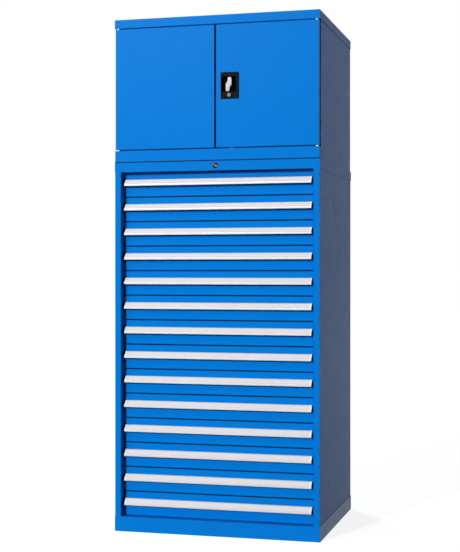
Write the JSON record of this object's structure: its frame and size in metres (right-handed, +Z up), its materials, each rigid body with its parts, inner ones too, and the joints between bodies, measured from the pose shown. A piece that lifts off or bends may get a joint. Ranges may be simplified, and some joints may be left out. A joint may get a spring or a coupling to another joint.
{
  "type": "parts drawer cabinet",
  "caption": "Tall steel parts cabinet: a stack of shallow full-width drawers with aluminium pull handles, under a two-door cupboard with a turn latch.",
  "frame": {"origin": "on the floor, under the middle of the cabinet's box", "axes": "+X to the right as seen from the front, +Y to the back, +Z up; the drawers open towards -Y"},
  "size_m": [0.85, 0.725, 2.08],
  "materials": {
    "blue_paint": "semi-gloss powder coat",
    "handle_aluminium": "satin anodised",
    "zinc_steel": "zinc plated",
    "lock_chrome": "polished",
    "black_plastic": "moulded"
  },
  "bodies": {
    "cabinet": {"base_plinth": "blue_paint", "side_panel_left": "blue_paint", "side_panel_right": "blue_paint", "back_panel": "blue_paint", "back_panel_screws": "zinc_steel", "top_cover": "blue_paint", "rail_uprights": "zinc_steel", "cabinet_rails": "zinc_steel", "main_lock_barrel": "lock_chrome", "lock_bar_guides": "black_plastic", "cupboard_shell": "blue_paint", "cupboard_floor": "blue_paint", "cupboard_lid": "blue_paint", "joining_bolts": "zinc_steel", "cupboard_shelf": "blue_paint", "shelf_clips": "zinc_steel", "door_pivot_pins": "zinc_steel"},
    "drawer_01": {"drawer_01_tray": "blue_paint", "drawer_01_handle": "handle_aluminium"},
    "drawer_02": {"drawer_02_tray": "blue_paint", "drawer_02_handle": "handle_aluminium"},
    "drawer_03": {"drawer_03_tray": "blue_paint", "drawer_03_handle": "handle_aluminium"},
    "drawer_04": {"drawer_04_tray": "blue_paint", "drawer_04_handle": "handle_aluminium"},
    "drawer_05": {"drawer_05_tray": "blue_paint", "drawer_05_handle": "handle_aluminium"},
    "drawer_06": {"drawer_06_tray": "blue_paint", "drawer_06_handle": "handle_aluminium"},
    "drawer_07": {"drawer_07_tray": "blue_paint", "drawer_07_handle": "handle_aluminium"},
    "drawer_08": {"drawer_08_tray": "blue_paint", "drawer_08_handle": "handle_aluminium"},
    "drawer_09": {"drawer_09_tray": "blue_paint", "drawer_09_handle": "handle_aluminium"},
    "drawer_10": {"drawer_10_tray": "blue_paint", "drawer_10_handle": "handle_aluminium"},
    "drawer_11": {"drawer_11_tray": "blue_paint", "drawer_11_handle": "handle_aluminium"},
    "drawer_12": {"drawer_12_tray": "blue_paint", "drawer_12_handle": "handle_aluminium"},
    "drawer_13": {"drawer_13_tray": "blue_paint", "drawer_13_handle": "handle_aluminium"},
    "drawer_14": {"drawer_14_tray": "blue_paint", "drawer_14_handle": "handle_aluminium"},
    "main_lock": {"main_lock_plug": "lock_chrome"},
    "drawer_lock_bar": {"lock_bar": "zinc_steel"},
    "left_door": {"door_left": "blue_paint"},
    "right_door": {"door_right": "blue_paint", "latch_plate": "black_plastic", "latch_rod_guides": "zinc_steel"},
    "latch_handle": {"latch_wing": "lock_chrome", "latch_cam": "zinc_steel"},
    "upper_rod": {"latch_rod_upper": "zinc_steel"},
    "lower_rod": {"latch_rod_lower": "zinc_steel"},
    "latch_key": {"latch_key_plug": "lock_chrome"}
  },
  "joints": [
    {"name": "drawer_01_slide", "type": "slide", "parent": "cabinet", "child": "drawer_01", "axis": [0, -1, 0], "range_m": [0, 0.48]},
    {"name": "drawer_02_slide", "type": "slide", "parent": "cabinet", "child": "drawer_02", "axis": [0, -1, 0], "range_m": [0, 0.48]},
    {"name": "drawer_03_slide", "type": "slide", "parent": "cabinet", "child": "drawer_03", "axis": [0, -1, 0], "range_m": [0, 0.48]},
    {"name": "drawer_04_slide", "type": "slide", "parent": "cabinet", "child": "drawer_04", "axis": [0, -1, 0], "range_m": [0, 0.48]},
    {"name": "drawer_05_slide", "type": "slide", "parent": "cabinet", "child": "drawer_05", "axis": [0, -1, 0], "range_m": [0, 0.48]},
    {"name": "drawer_06_slide", "type": "slide", "parent": "cabinet", "child": "drawer_06", "axis": [0, -1, 0], "range_m": [0, 0.48]},
    {"name": "drawer_07_slide", "type": "slide", "parent": "cabinet", "child": "drawer_07", "axis": [0, -1, 0], "range_m": [0, 0.48]},
    {"name": "drawer_08_slide", "type": "slide", "parent": "cabinet", "child": "drawer_08", "axis": [0, -1, 0], "range_m": [0, 0.48]},
    {"name": "drawer_09_slide", "type": "slide", "parent": "cabinet", "child": "drawer_09", "axis": [0, -1, 0], "range_m": [0, 0.48]},
    {"name": "drawer_10_slide", "type": "slide", "parent": "cabinet", "child": "drawer_10", "axis": [0, -1, 0], "range_m": [0, 0.48]},
    {"name": "drawer_11_slide", "type": "slide", "parent": "cabinet", "child": "drawer_11", "axis": [0, -1, 0], "range_m": [0, 0.48]},
    {"name": "drawer_12_slide", "type": "slide", "parent": "cabinet", "child": "drawer_12", "axis": [0, -1, 0], "range_m": [0, 0.48]},
    {"name": "drawer_13_slide", "type": "slide", "parent": "cabinet", "child": "drawer_13", "axis": [0, -1, 0], "range_m": [0, 0.48]},
    {"name": "drawer_14_slide", "type": "slide", "parent": "cabinet", "child": "drawer_14", "axis": [0, -1, 0], "range_m": [0, 0.48]},
    {"name": "lock_bar_lift", "type": "slide", "parent": "cabinet", "child": "drawer_lock_bar", "axis": [0, 0, 1], "range_m": [0, 0.01]},
    {"name": "main_lock_turn", "type": "hinge", "parent": "cabinet", "child": "main_lock", "pos_m": [0, -0.3595, 1.48], "axis": [0, 1, 0], "range_deg": [0, 90.5]},
    {"name": "left_door_swing", "type": "hinge", "parent": "cabinet", "child": "left_door", "pos_m": [-0.41125, -0.3495, 1.796], "axis": [0, 0, -1], "range_deg": [0, 110]},
    {"name": "right_door_swing", "type": "hinge", "parent": "cabinet", "child": "right_door", "pos_m": [0.41125, -0.3495, 1.796], "axis": [0, 0, 1], "range_deg": [0, 110]},
    {"name": "latch_turn", "type": "hinge", "parent": "right_door", "child": "latch_handle", "pos_m": [0.0557, -0.3595, 1.8015], "axis": [0, 1, 0], "range_deg": [0, 90]},
    {"name": "upper_rod_slide", "type": "slide", "parent": "right_door", "child": "upper_rod", "axis": [0, 0, 1], "range_m": [0, 0.0151]},
    {"name": "lower_rod_slide", "type": "slide", "parent": "right_door", "child": "lower_rod", "axis": [0, 0, -1], "range_m": [0, 0.0151]},
    {"name": "latch_key_turn", "type": "hinge", "parent": "right_door", "child": "latch_key", "pos_m": [0.0577, -0.3595, 1.759], "axis": [0, 1, 0], "range_deg": [0, 90]}
  ],
  "couplings": [
    {"joint": "main_lock_turn", "follows": "lock_bar_lift", "rad_per_m": 157.08},
    {"joint": "upper_rod_slide", "follows": "latch_turn", "m_per_rad": 0.0095493},
    {"joint": "lower_rod_slide", "follows": "latch_turn", "m_per_rad": 0.0095493}
  ]
}
